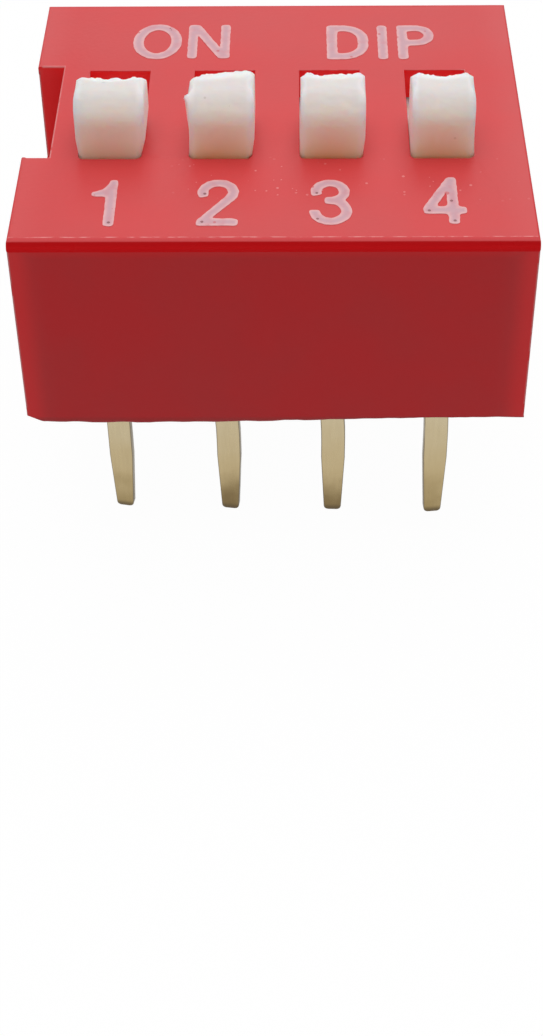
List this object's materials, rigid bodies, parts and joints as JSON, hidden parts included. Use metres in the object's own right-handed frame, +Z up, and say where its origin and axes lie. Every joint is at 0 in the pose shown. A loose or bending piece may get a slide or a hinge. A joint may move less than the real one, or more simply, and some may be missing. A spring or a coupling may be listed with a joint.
{
  "type": "dip switch",
  "caption": "Slide switch in a dual in-line through-hole body: red moulded cover, white sliding knobs in slots, polarity notch, flat gold-plated pins, potted underside.",
  "frame": {"origin": "centre of the pin grid on the seating plane, at the cover's rim", "axes": "+X from position 1 to position 4, +Y from the numbered side to the ON side, +Z up out of the board"},
  "size_m": [0.0116, 0.0098, 0.0108],
  "materials": {
    "cover": "moulded, fine satin",
    "slider": "moulded nylon, satin",
    "base": "moulded, rough",
    "seal": "cast epoxy, smooth",
    "terminal": "gold plated",
    "contact": "gold plated"
  },
  "bodies": {
    "housing": {"cover": "cover", "base": "base", "epoxy_seal": "seal", "front_terminal_1": "terminal", "front_terminal_2": "terminal", "front_terminal_3": "terminal", "front_terminal_4": "terminal", "rear_terminal_1": "terminal", "rear_terminal_2": "terminal", "rear_terminal_3": "terminal", "rear_terminal_4": "terminal"},
    "slide_1": {"slider_1": "slider", "contact_1": "contact"},
    "slide_2": {"slider_2": "slider", "contact_2": "contact"},
    "slide_3": {"slider_3": "slider", "contact_3": "contact"},
    "slide_4": {"slider_4": "slider", "contact_4": "contact"}
  },
  "joints": [
    {"name": "switch_1", "type": "slide", "parent": "housing", "child": "slide_1", "axis": [0, 1, 0], "range_m": [0, 0.00194]},
    {"name": "switch_2", "type": "slide", "parent": "housing", "child": "slide_2", "axis": [0, 1, 0], "range_m": [0, 0.00194]},
    {"name": "switch_3", "type": "slide", "parent": "housing", "child": "slide_3", "axis": [0, 1, 0], "range_m": [0, 0.00194]},
    {"name": "switch_4", "type": "slide", "parent": "housing", "child": "slide_4", "axis": [0, 1, 0], "range_m": [0, 0.00194]}
  ]
}
